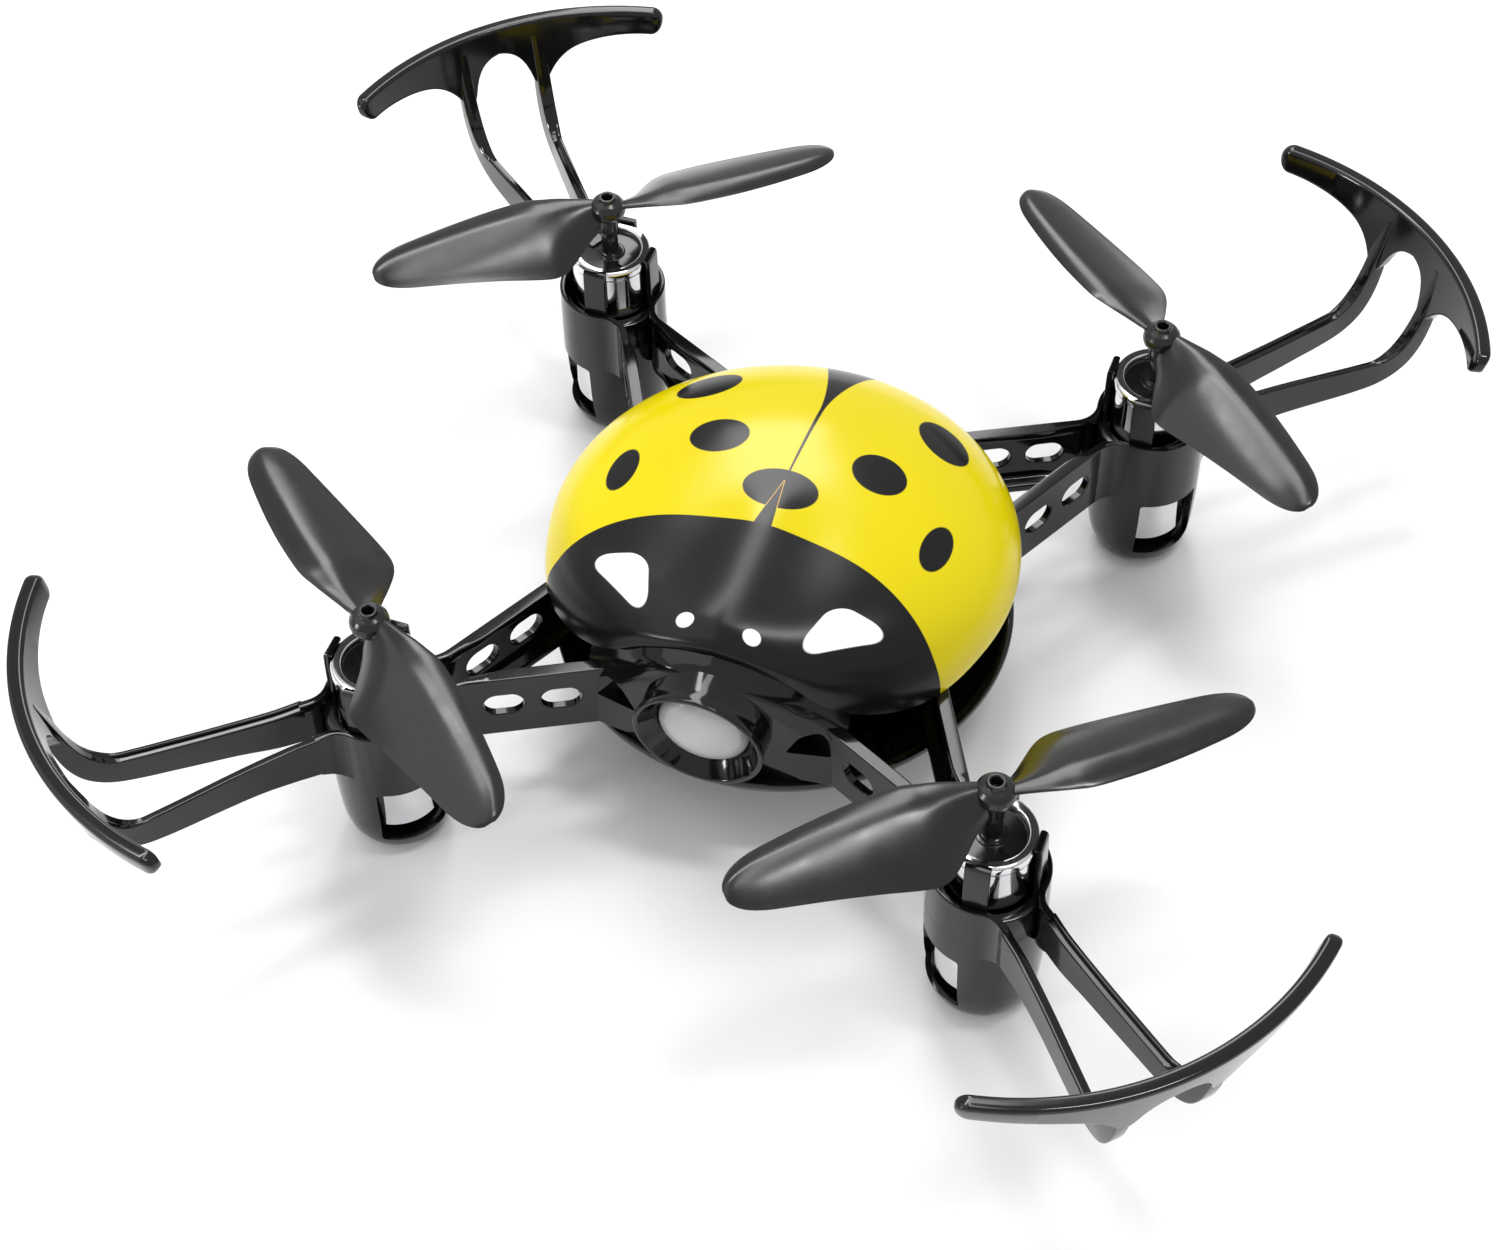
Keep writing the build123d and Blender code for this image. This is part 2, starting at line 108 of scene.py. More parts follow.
def ring_faces(rings, size, closed_rings=False, capped=True):
    """Quads between successive closed rings of points, and flat ends."""
    faces = []
    last = rings if closed_rings else rings - 1
    for i in range(last):
        here = i * size
        there = ((i + 1) % rings) * size
        for k in range(size):
            n = (k + 1) % size
            faces.append((here + k, here + n, there + n, there + k))
    if capped and not closed_rings:
        faces.append(tuple(range(size - 1, -1, -1)))
        end = (rings - 1) * size
        faces.append(tuple(range(end, end + size)))
    return faces


def lathe(name, outline, steps=96, smooth_angle=35.0):
    """Solid of revolution about Z from a closed outline of (radius, height)."""
    verts = []
    for i in range(steps):
        a = 2 * math.pi * i / steps
        verts += [(r * math.cos(a), r * math.sin(a), z) for r, z in outline]
    faces = ring_faces(steps, len(outline), closed_rings=True)
    return make_piece(name, verts, faces, smooth_angle)


def rounded(points, radius, segments=3):
    """Closed outline with each corner turned into a short arc."""
    out = []
    count = len(points)
    for i in range(count):
        p = Vector(points[i])
        a = Vector(points[i - 1]) - p
        b = Vector(points[(i + 1) % count]) - p
        wanted = radius[i] if isinstance(radius, (list, tuple)) else radius
        reach = min(wanted, 0.45 * a.length, 0.45 * b.length)
        if reach < 1e-6:
            out.append(tuple(p))
            continue
        start = p + a.normalized() * reach
        end = p + b.normalized() * reach
        for k in range(segments + 1):
            t = k / segments
            q = start * (1 - t) ** 2 + p * 2 * t * (1 - t) + end * t * t
            out.append(tuple(q))
    return out


def sweep(name, stations, smooth_angle=35.0):
    """Solid skin through rings; each ring is the same number of 3-D points."""
    verts = [p for ring in stations for p in ring]
    return make_piece(name, verts, ring_faces(len(stations), len(stations[0])), smooth_angle)


def prism(name, outline, levels):
    """Upright solid with the same (x, y) outline at each level."""
    return sweep(name, [[(x, y, z) for x, y in outline] for z in levels])


def cut(obj, cutter):
    """Takes another object's volume away, then removes that object."""
    modifier = obj.modifiers.new("cut", "BOOLEAN")
    modifier.operation = "DIFFERENCE"
    modifier.solver = "EXACT"
    modifier.object = cutter
    bpy.context.view_layer.update()
    evaluated = obj.evaluated_get(bpy.context.evaluated_depsgraph_get())
    mesh = bpy.data.meshes.new_from_object(evaluated)
    obj.modifiers.clear()
    obj.data = mesh
    mesh.shade_smooth()
    mesh.set_sharp_from_angle(angle=math.radians(SHARP_ANGLE))
    bpy.data.objects.remove(cutter)


def joined(name, parts):
    """One object from several, each kept as its own closed shell."""
    work = bmesh.new()
    for part in parts:
        start = len(work.verts)
        work.from_mesh(part.data)
        work.verts.ensure_lookup_table()
        for v in work.verts[start:]:
            v.co = part.matrix_world @ v.co
        bpy.data.objects.remove(part)
    mesh = bpy.data.meshes.new(name)
    bmesh.ops.recalc_face_normals(work, faces=work.faces)
    work.to_mesh(mesh)
    work.free()
    mesh.shade_smooth()
    mesh.set_sharp_from_angle(angle=math.radians(SHARP_ANGLE))
    obj = bpy.data.objects.new(name, mesh)
    bpy.context.scene.collection.objects.link(obj)
    return obj


def placed(obj, matrix):
    """Moves a copy's own mesh into place, so that the object itself stays at the origin."""
    obj.data = obj.data.copy()
    obj.data.transform(matrix)
    return obj


def copy_of(obj, name):
    other = bpy.data.objects.new(name, obj.data)
    bpy.context.scene.collection.objects.link(other)
    return other


def at_corner(master, name, corner):
    """Copy of a piece that was drawn in the frame of corner_matrix."""
    return placed(copy_of(master, name + corner), corner_matrix(corner))


def curve_value(table, x):
    """Smooth value through (x, value) pairs."""
    if x <= table[0][0]:
        return table[0][1]
    for i in range(len(table) - 1):
        x0, y0 = table[i]
        x1, y1 = table[i + 1]
        if x <= x1:
            slope0 = (y1 - table[i - 1][1]) / (x1 - table[i - 1][0]) if i else (y1 - y0) / (x1 - x0)
            last = i + 2 >= len(table)
            slope1 = (y1 - y0) / (x1 - x0) if last else (table[i + 2][1] - y0) / (table[i + 2][0] - x0)
            h = x1 - x0
            t = (x - x0) / h
            return ((2 * t ** 3 - 3 * t ** 2 + 1) * y0 + (t ** 3 - 2 * t ** 2 + t) * h * slope0
                    + (3 * t ** 2 - 2 * t ** 3) * y1 + (t ** 3 - t ** 2) * h * slope1)
    return table[-1][1]


def smooth_step(low, high, x):
    t = min(1.0, max(0.0, (x - low) / (high - low)))
    return t * t * (3 - 2 * t)


# ------------------------------------------------------------------ materials
def socket(node, name, value):
    node.inputs[name].default_value = value


class Shader:
    """Small helper that wires maths and shading nodes."""

    def __init__(self, name):
        self.material = bpy.data.materials.new(name)
        self.material.use_nodes = True
        self.tree = self.material.node_tree
        self.bsdf = self.tree.nodes["Principled BSDF"]
        coordinates = self.tree.nodes.new("ShaderNodeTexCoord")
        self.object = coordinates.outputs["Object"]

    def link(self, value, target):
        if isinstance(value, bpy.types.NodeSocket):
            self.tree.links.new(value, target)
        else:
            target.default_value = value

    def math(self, operation, a, b=0.0):
        node = self.tree.nodes.new("ShaderNodeMath")
        node.operation = operation
        for value, target in zip((a, b), node.inputs):
            self.link(value, target)
        return node.outputs[0]

    def plan(self):
        """Object x and y in millimetres."""
        node = self.tree.nodes.new("ShaderNodeSeparateXYZ")
        self.link(self.object, node.inputs[0])
        return [self.math("MULTIPLY", node.outputs[i], 1 / MM) for i in range(2)]

    def noise(self, scale, detail=3.0, roughness=0.5):
        node = self.tree.nodes.new("ShaderNodeTexNoise")
        self.link(self.object, node.inputs["Vector"])
        socket(node, "Scale", scale)
        socket(node, "Detail", detail)
        socket(node, "Roughness", roughness)
        return node.outputs["Fac"]

    def remap(self, value, low, high):
        node = self.tree.nodes.new("ShaderNodeMapRange")
        self.link(value, node.inputs["Value"])
        socket(node, "From Min", 0.3)
        socket(node, "From Max", 0.7)
        socket(node, "To Min", low)
        socket(node, "To Max", high)
        return node.outputs["Result"]

    def mix(self, factor, a, b):
        node = self.tree.nodes.new("ShaderNodeMix")
        node.data_type = "RGBA"
        self.link(factor, node.inputs["Factor"])
        self.link(a, node.inputs[6])
        self.link(b, node.inputs[7])
        return node.outputs[2]

    def inside(self, distance, edge=0.04):
        """1 where a signed distance in millimetres is negative, with a thin soft edge."""
        node = self.tree.nodes.new("ShaderNodeMapRange")
        self.link(distance, node.inputs["Value"])
        socket(node, "From Min", edge)
        socket(node, "From Max", -edge)
        socket(node, "To Min", 0.0)
        socket(node, "To Max", 1.0)
        return node.outputs["Result"]

    def bump(self, value, strength, distance):
        node = self.tree.nodes.new("ShaderNodeBump")
        self.link(value, node.inputs["Height"])
        socket(node, "Strength", strength)
        socket(node, "Distance", distance)
        self.tree.links.new(node.outputs["Normal"], self.bsdf.inputs["Normal"])


def plastic(name, colour, rough, shine=0.45, grain=900.0, bump=0.05):
    """Moulded plastic: slight tone variation, uneven polish and a faint surface ripple."""
    s = Shader(name)
    tone = s.noise(140.0, 4.0)
    darker = tuple(c * 0.82 for c in colour) + (1.0,)
    lighter = tuple(min(1.0, c * 1.12) for c in colour) + (1.0,)
    s.link(s.mix(s.remap(tone, 0.0, 1.0), darker, lighter), s.bsdf.inputs["Base Color"])
    polish = s.noise(260.0, 5.0, 0.6)
    s.link(s.remap(polish, rough * 0.8, rough * 1.25), s.bsdf.inputs["Roughness"])
    socket(s.bsdf, "Specular IOR Level", shine)
    s.bump(s.noise(grain, 2.0), bump, 0.00002)
    return s.material


def metal(name, colour, rough, brushed=0.0):
    s = Shader(name)
    tone = s.noise(300.0, 4.0)
    darker = tuple(c * 0.88 for c in colour) + (1.0,)
    s.link(s.mix(s.remap(tone, 0.0, 1.0), darker, tuple(colour) + (1.0,)), s.bsdf.inputs["Base Color"])
    socket(s.bsdf, "Metallic", 1.0)
    s.link(s.remap(s.noise(700.0, 4.0), rough * 0.7, rough * 1.3), s.bsdf.inputs["Roughness"])
    if brushed:
        wave = s.tree.nodes.new("ShaderNodeTexWave")
        wave.bands_direction = "Z"
        s.link(s.object, wave.inputs["Vector"])
        socket(wave, "Scale", 900.0)
        socket(wave, "Distortion", 4.0)
        s.bump(wave.outputs["Fac"], brushed, 0.00001)
    else:
        s.bump(s.noise(900.0, 2.0), 0.04, 0.00001)
    return s.material


def ellipse(s, x, y, centre, radii, turn=0.0):
    """Signed distance, roughly, from an ellipse on the plan of the canopy."""
    c, n = math.cos(math.radians(turn)), math.sin(math.radians(turn))
    dx = s.math("SUBTRACT", x, centre[0])
    dy = s.math("SUBTRACT", y, centre[1])
    u = s.math("DIVIDE", s.math("ADD", s.math("MULTIPLY", dx, c), s.math("MULTIPLY", dy, n)), radii[0])
    v = s.math("DIVIDE", s.math("SUBTRACT", s.math("MULTIPLY", dy, c), s.math("MULTIPLY", dx, n)), radii[1])
    length = s.math("SQRT", s.math("ADD", s.math("MULTIPLY", u, u), s.math("MULTIPLY", v, v)))
    return s.math("MULTIPLY", s.math("SUBTRACT", length, 1.0), min(radii))


def triangle(s, x, y, corners, rounding):
    """Signed distance from a triangle with rounded corners, listed anticlockwise."""
    total = None
    for i in range(3):
        p, q = Vector(corners[i]), Vector(corners[(i + 1) % 3])
        d = (q - p).normalized()
        side = s.math("ADD", s.math("MULTIPLY", s.math("SUBTRACT", x, p.x), d.y),
                      s.math("MULTIPLY", s.math("SUBTRACT", y, p.y), -d.x))
        push = s.math("POWER", s.math("MAXIMUM", s.math("ADD", side, rounding), 0.0), 2.0)
        total = push if total is None else s.math("ADD", total, push)
    return s.math("SUBTRACT", s.math("SQRT", total), rounding)


# Places on the shell's plan in millimetres, with the front at negative y.
FACE_EDGE = -5.1
SPIKE_END = 0.45
SEAM_START = 0.2
SEAM_HALF = 0.07
WEDGE_START = 9.6
SPOTS = [  # centre, radii, turn in degrees; each stands on both sides
    ((6.9, 3.9), (2.5, 2.05), -32.0),
    ((13.4, -1.5), (1.2, 2.5), -2.0),
    ((10.35, 10.8), (2.95, 1.75), -44.0),
]


def face_area(s, ax, y):
    """Signed distance from the dark face, whose edge bows forward towards the sides."""
    edge = s.math("SUBTRACT", FACE_EDGE, s.math("MULTIPLY", s.math("POWER", ax, 2.4), 0.0064))
    return s.math("SUBTRACT", y, edge)


def spike_area(s, ax, y):
    """The face's point, which narrows to nothing on the centre line."""
    width = s.math("MULTIPLY", s.math("SUBTRACT", SPIKE_END, y), 0.135)
    return s.math("MAXIMUM", s.math("SUBTRACT", ax, width), s.math("SUBTRACT", y, SPIKE_END))


def seam_area(s, ax, y):
    """The centre seam, a thin line that opens into a dark wedge towards the back."""
    run = s.math("MAXIMUM", s.math("SUBTRACT", y, WEDGE_START), 0.0)
    flare = s.math("MULTIPLY", s.math("MAXIMUM", y, 0.0), 0.010)
    wedge = s.math("MULTIPLY", s.math("POWER", run, 1.6), 0.066)
    width = s.math("ADD", wedge, s.math("ADD", flare, SEAM_HALF))
    return s.math("MAXIMUM", s.math("SUBTRACT", ax, width), s.math("SUBTRACT", SEAM_START, y))


def livery(name):
    """Yellow shell with a dark face, oval spots, a centre seam and light eye patches."""
    s = Shader(name)
    x, y = s.plan()
    ax = s.math("ABSOLUTE", x)
    face = face_area(s, ax, y)
    spike = spike_area(s, ax, y)
    seam = seam_area(s, ax, y)
    dark = s.math("MINIMUM", s.math("MINIMUM", face, spike), seam)
    for centre, radii, turn in SPOTS:
        dark = s.math("MINIMUM", dark, ellipse(s, ax, y, centre, radii, turn))
    centre_spot = ellipse(s, x, y, (0.0, -0.75), (3.15, 2.3))
    dark = s.math("MINIMUM", dark, centre_spot)
    # thin amber edge of the spike, where it crosses the centre spot
    outline = s.math("SUBTRACT", s.math("ABSOLUTE", spike), 0.035)
    outline = s.math("MAXIMUM", outline, s.math("SUBTRACT", y, 0.3))
    outline = s.math("MAXIMUM", outline, centre_spot)
    eye = triangle(s, ax, y, [(5.8, -15.8), (13.3, -10.7), (7.8, -10.1)], 1.6)
    nostril = ellipse(s, ax, y, (2.75, -15.5), (0.72, 0.58))
    light = s.math("MINIMUM", eye, nostril)
    tone = s.remap(s.noise(60.0, 3.0), 0.0, 1.0)
    yellow = s.mix(tone, (0.64, 0.525, 0.0, 1.0), (0.68, 0.56, 0.0, 1.0))
    black = s.mix(tone, (0.0040, 0.0040, 0.0040, 1.0), (0.0055, 0.0054, 0.0054, 1.0))
    colour = s.mix(s.inside(dark), yellow, black)
    colour = s.mix(s.inside(outline, 0.02), colour, (0.55, 0.30, 0.02, 1.0))
    colour = s.mix(s.inside(light), colour, (0.95, 0.95, 0.95, 1.0))
    s.link(colour, s.bsdf.inputs["Base Color"])
    satin = s.math("MULTIPLY", s.inside(face, 0.3), 0.08)
    polish = s.remap(s.noise(180.0, 4.0), 0.15, 0.19)
    s.link(s.math("ADD", satin, polish), s.bsdf.inputs["Roughness"])
    socket(s.bsdf, "Specular IOR Level", 0.28)
    s.bump(s.noise(500.0, 2.0), 0.03, 0.00002)
    return s.material


MATERIALS = {
    "frame": plastic("frame_black", (0.004, 0.004, 0.0042), 0.09, shine=0.42),
    "cup": plastic("cup_black", (0.005, 0.005, 0.0052), 0.13, shine=0.42),
    "prop": plastic("prop_grey", (0.007, 0.007, 0.0075), 0.21, shine=0.5, grain=1400.0, bump=0.03),
    "cap": plastic("cap_black", (0.012, 0.012, 0.012), 0.15),
    "board": plastic("board_green", (0.01, 0.10, 0.045), 0.35),
    "chip": plastic("chip_black", (0.02, 0.02, 0.02), 0.5),
    "cell": plastic("cell_grey", (0.30, 0.31, 0.33), 0.35),
    "connector": plastic("connector_white", (0.75, 0.73, 0.66), 0.4),
    "switch": plastic("switch_black", (0.03, 0.03, 0.032), 0.4),
    "lens": plastic("lens_pearl", (0.48, 0.485, 0.49), 0.2, shine=1.0, bump=0.004),
    "led": plastic("led_clear", (0.85, 0.85, 0.8), 0.15),
    "chrome": metal("can_chrome", (0.82, 0.82, 0.84), 0.09),
    "steel": metal("steel", (0.55, 0.55, 0.57), 0.25, brushed=0.1),
    "dark_steel": metal("dark_steel", (0.14, 0.14, 0.15), 0.35),
    "copper": metal("copper", (0.72, 0.36, 0.18), 0.3, brushed=0.2),
    "canopy": livery("canopy_livery"),
}


def paint(obj, material):
    obj.data.materials.clear()
    obj.data.materials.append(MATERIALS[material])


def install(obj, material, body, nodes):
    """Gives a piece its look and its body, and hides the CAD nodes that it stands for."""
    paint(obj, material)
    normals = obj.modifiers.new("normals", "WEIGHTED_NORMAL")
    normals.keep_sharp = True
    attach(obj, body)
    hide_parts(*nodes)


# ------------------------------------------------------------------ frame arms
COLLAR_PATH_R = 4.515
ARM_START = Vector((-21.4, 6.484))
ARM_END = Vector((-7.7, 2.1))
ARM_BEND = 2.6
STUB_START = Vector((6.3, 1.85))
STUB_END = Vector((5.2, 1.78))
STUB_BEND = 2.4
RAIL_T = 0.7
OVAL_AT = (-9.1, -13.5)
OVAL_Z = 12.6
OVAL_R = 1.14
OVAL_HALF_RUN = 0.5


def tangent_arc(start, end, bend):
    """Centre and ends of the arc that turns a straight run into the collar circle."""
    along = (end - start).normalized()
    side = Vector((-along.y, along.x))
    if side.y < 0:
        side = -side
    base = start + side * bend
    reach = COLLAR_PATH_R + bend
    b = base.dot(along)
    root = math.sqrt(b * b - (base.dot(base) - reach * reach))
    near = min((-b - root, -b + root), key=lambda t: (base + along * t - end).length)
    centre = base + along * near
    return centre, centre - side * bend, centre * (COLLAR_PATH_R / reach)


def arc_points(centre, start, end, count):
    a = math.atan2(start.y - centre.y, start.x - centre.x)
    b = math.atan2(end.y - centre.y, end.x - centre.x)
    turn = (b - a + math.pi) % (2 * math.pi) - math.pi
    radius = (start - centre).length
    return [centre + Vector((math.cos(a + turn * i / count), math.sin(a + turn * i / count))) * radius
            for i in range(count + 1)]


def strip_route():
    """Plan line of one side of an arm, from the ring, round the collar, to the guard."""
    centre_in, leave_in, join_in = tangent_arc(ARM_START, ARM_END, ARM_BEND)
    centre_out, leave_out, join_out = tangent_arc(STUB_START, STUB_END, STUB_BEND)
    run = [ARM_START.lerp(leave_in, i / 24) for i in range(24)]
    route = run + arc_points(centre_in, leave_in, join_in, 10)[:-1]
    route += arc_points(Vector((0, 0)), join_in, join_out, 40)[:-1]
    route += arc_points(centre_out, join_out, leave_out, 12)
    route.append(STUB_START)
    return route


def rail_bottom(u):
    """The strip's lower edge: level along the arm, rising towards the guard."""
    return RAIL_LOW + 2.6 * smooth_step(1.5, 7.5, u)


def frame_strip(name, route):
    """C-section rail that fades into the plain band of the collar."""
    stations = []
    for i, p in enumerate(route):
        a = route[max(0, i - 1)]
        b = route[min(len(route) - 1, i + 1)]
        along = (b - a).normalized()
        inner = Vector((along.y, -along.x))
        flange = 0.02 + 0.43 * (1 - smooth_step(-9.5, -6.6, p.x))
        band = smooth_step(-6.5, -4.0, p.x) * (1 - smooth_step(4.0, 6.0, p.x))
        half = RAIL_T / 2 - 0.11 * band
        low = rail_bottom(p.x)
        outline = rounded([
            (-half, low), (half + 2.1 * flange, low),
            (half + 2.1 * flange, low + 0.7), (half, low + 0.95),
            (half, RAIL_TOP - 1.0), (half + flange, RAIL_TOP - 0.75),
            (half + flange, RAIL_TOP), (-half, RAIL_TOP),
        ], 0.16)
        stations.append([(p.x + inner.x * n, p.y + inner.y * n, z) for n, z in outline])
    return sweep(name, stations)


def oval_cutter(u, v, turn):
    """Prism with a stadium section and flared mouths, to cut an oval through a rail."""
    verts = []
    count = 20
    rings = [  # depth through the rail, growth of the outline
        (-1.2, 0.28), (-0.42, 0.22), (-0.28, 0.0), (0.28, 0.0), (0.42, 0.22), (1.6, 0.28),
    ]
    for depth, grow in rings:
        for k in range(count * 2):
            a = math.pi * k / count
            middle = OVAL_HALF_RUN if math.cos(a) > 0 else -OVAL_HALF_RUN
            reach = OVAL_R + grow
            verts.append((middle + reach * math.cos(a), -depth, reach * math.sin(a)))
    faces = ring_faces(len(rings), count * 2)
    cutter = make_piece("cutter", verts, faces)
    matrix = Matrix.Translation((u * MM, v * MM, OVAL_Z * MM)) @ Matrix.Rotation(turn, 4, "Z")
    cutter.data.transform(matrix)
    return cutter


def arm_side():
    route = strip_route()
    strip = frame_strip("arm_side", route)
    slope = (ARM_END - ARM_START).normalized()
    turn = math.atan2(slope.y, slope.x)
    for u in OVAL_AT:
        t = (u - ARM_START.x) / (ARM_END.x - ARM_START.x)
        v = ARM_START.y + t * (ARM_END.y - ARM_START.y)
        cut(strip, oval_cutter(u, v, turn))
    return strip


def mirrored(obj, name):
    """Copy with the sign of local Y changed and its faces turned the right way out."""
    mesh = obj.data.copy()
    mesh.transform(Matrix.Diagonal((1, -1, 1, 1)))
    mesh.flip_normals()
    other = bpy.data.objects.new(name, mesh)
    bpy.context.scene.collection.objects.link(other)
    return other


# ------------------------------------------------------------------ guards
RAIL_PLAN = [(6.3, 1.85), (8.65, 1.9), (13.1, 2.35), (17.3, 2.88), (20.9, 3.32), (24.0, 3.7), (27.0, 4.0)]
RAIL_LINE = [  # distance out, mid height, half depth of the rail's side profile
    (6.1, 13.62, 2.08), (8.5, 13.75, 1.92), (11.5, 13.98, 1.70), (15.5, 14.08, 1.56), (19.2, 14.18, 1.44),
    (21.2, 14.45, 1.30), (22.7, 15.35, 1.12), (23.75, 16.8, 0.92), (24.45, 18.6, 0.76), (24.9, 20.4, 0.64),
    (25.3, 22.0, 0.56), (25.65, 23.4, 0.52), (25.9, 24.4, 0.5),
]
BAR_R = 26.35
BAR_SHIFT = 1.0
STEM_V = 3.95
BAR_LEAN = 0.238
BAR_T = 1.3
BAR_HALF_ANGLE = 36.2


def spline_points(table, count):
    """Points spaced along a smooth curve through the rows of a table."""
    out = []
    rows = [Vector(r) for r in table]
    for i in range(len(rows) - 1):
        p0 = rows[max(0, i - 1)]
        p1, p2 = rows[i], rows[i + 1]
        p3 = rows[min(len(rows) - 1, i + 2)]
        for k in range(count):
            t = k / count
            out.append(0.5 * ((2 * p1) + (p2 - p0) * t + (2 * p0 - 5 * p1 + 4 * p2 - p3) * t * t
                              + (3 * p1 - p0 - 3 * p2 + p3) * t ** 3))
    out.append(rows[-1])
    return out


def guard_rail():
    """L-section rail: an outer web with a raised lip and a lower inner ledge."""
    line = spline_points(RAIL_LINE, 5)
    stations = []
    for i, p in enumerate(line):
        a = line[max(0, i - 1)]
        b = line[min(len(line) - 1, i + 1)]
        along = Vector((b.x - a.x, b.y - a.y)).normalized()
        up = Vector((-along.y, along.x))
        depth = p.z
        v = curve_value(RAIL_PLAN, p.x)
        rise = smooth_step(20.5, 24.5, p.x)
        outer = 0.45 + 0.18 * rise
        ledge = 0.45 + 0.22 * rise
        lip = 0.30 * (1 - rise)
        outline = rounded([
            (outer, -depth), (outer, depth), (outer - 0.38, depth), (outer - 0.46, depth - lip),
            (-ledge, depth - lip), (-ledge, -depth),
        ], [0.2, 0.16, 0.1, 0.06, 0.14, 0.2])
        stations.append([(p.x + up.x * h, v + w, p.y + up.y * h) for w, h in outline])
    return sweep("guard_rail", stations)


def bar_point(angle, inset, z):
    """Point on the leaning bar, inset from its outer face."""
    radius = BAR_R - (GUARD_TOP - z) * BAR_LEAN - inset
    return (BAR_SHIFT + radius * math.cos(angle), radius * math.sin(angle), z)


def bar_low(v):
    """Lower edge of the bar: deep at the stems with concave fillets, slim at the ends."""
    a = abs(v)
    away = max(0.0, abs(a - STEM_V) - 0.55)
    reach = 1.05 if a < STEM_V else 2.1
    base = 23.55 + 0.3 * smooth_step(8.0, 14.5, a)
    return base - 4.1 * math.exp(-away / reach)


def guard_bar():
    half = math.radians(BAR_HALF_ANGLE)
    count = 160
    stations = []
    for i in range(count + 1):
        t = -math.cos(math.pi * i / count)
        angle = half * t
        end = (1 - abs(t)) * half * BAR_R
        tip = math.sqrt(max(0.0, 1 - (1 - min(1.0, end / 1.1)) ** 2))
        low = bar_low(BAR_R * math.sin(angle))
        middle = (GUARD_TOP + low) / 2 + 0.15 * (1 - tip)
        tall = max(0.03, (GUARD_TOP - low) / 2 * (0.12 + 0.88 * tip))
        thick = BAR_T * (0.3 + 0.7 * tip)
        outline = rounded([(0, -tall), (0, tall), (thick, tall), (thick, -tall)], [0.3, 0.42, 0.34, 0.3], 4)
        centre = (BAR_T - thick) / 2
        stations.append([bar_point(angle, centre + n, middle + h) for n, h in outline])
    return sweep("guard_bar", stations)


def build_guards():
    rail = guard_rail()
    other = mirrored(rail, "guard_rail_b")
    master = joined("guard_master", [guard_bar(), rail, other])
    for corner in CORNERS:
        piece = at_corner(master, "guard_", corner)
        install(piece, "frame", "airframe", ["prop_guard_" + corner])
    bpy.data.objects.remove(master)


# ------------------------------------------------------------------ motor pods
def pod_cup():
    """Capsule-shaped cup whose wall runs flush with the collar, with two side windows."""
    profile_out = [
        (0.0, 0.0), (2.3, 0.0), (2.85, 0.08), (3.45, 0.36), (3.95, 0.9), (4.3, 1.7), (4.5, 2.6), (4.62, 3.8),
        (4.7, 5.6), (4.745, 7.4), (4.762, 8.6), (4.762, 11.4), (4.70, 11.6), (4.72, 12.8), (4.72, 14.35),
        (4.64, 14.52), (4.5, 14.6),
    ]
    profile_in = [
        (3.85, 14.6), (3.72, 14.5), (3.66, 14.3), (3.66, 9.0), (3.95, 8.8), (3.95, 2.2), (3.4, 1.7),
        (0.0, 1.6),
    ]
    steps = 144
    verts = []
    for i in range(steps):
        a = 2 * math.pi * i / steps
        side = abs(math.degrees(math.atan2(math.sin(a), math.cos(a))))
        covered = smooth_step(30, 40, side) * (1 - smooth_step(140, 150, side))
        ring = []
        for r, z in profile_out:
            tuck = 0.5 * covered if z > 11.5 else 0.0
            ring.append((max(0.0, r - tuck), z))
        ring += profile_in
        verts += [(r * math.cos(a), r * math.sin(a), z) for r, z in ring]
    size = len(profile_out) + len(profile_in)
    faces = []
    for i in range(steps):
        n = (i + 1) % steps
        for k in range(size - 1):
            faces.append((i * size + k, n * size + k, n * size + k + 1, i * size + k + 1))
    cup = make_piece("cup", verts, faces, 40)
    for side in (-1, 1):
        cut(cup, window_cutter(side))
    return cup


def window_cutter(side):
    """Rounded block that opens one side window."""
    outline = rounded([(-2.75, 2.2), (2.75, 2.2), (2.75, 8.6), (-2.75, 8.6)], 0.35, 4)
    rings = [[(x, side * y, z) for x, z in outline] for y in (3.0, 6.0)]
    return sweep("window", rings)


def hook():
    """Upright clip on the cup's rim that holds the can down."""
    rings = []
    tip = CAN_TOP + 0.3
    levels = [  # height, outer and inner distance from the motor's axis
        (13.8, 4.2, 3.68), (tip - 1.2, 4.14, 3.66), (tip - 0.32, 4.1, 3.62), (tip - 0.26, 4.08, 3.42),
        (tip - 0.06, 3.98, 3.44), (tip, 3.8, 3.55),
    ]
    for z, out, inn in levels:
        outline = rounded([(inn, -1.0), (out, -1.0), (out, 1.0), (inn, 1.0)], 0.12, 2)
        rings.append([(x, y, z) for x, y in outline])
    return sweep("hook", rings)


def build_cups():
    parts = [pod_cup()]
    for turn in (45, 135, 225, 315):
        clip = hook()
        clip.data.transform(Matrix.Rotation(math.radians(turn), 4, "Z"))
        parts.append(clip)
    master = joined("cup_master", parts)
    for corner in CORNERS:
        piece = at_corner(master, "pod_", corner)
        install(piece, "cup", "airframe", ["motor_cup_" + corner])
    bpy.data.objects.remove(master)


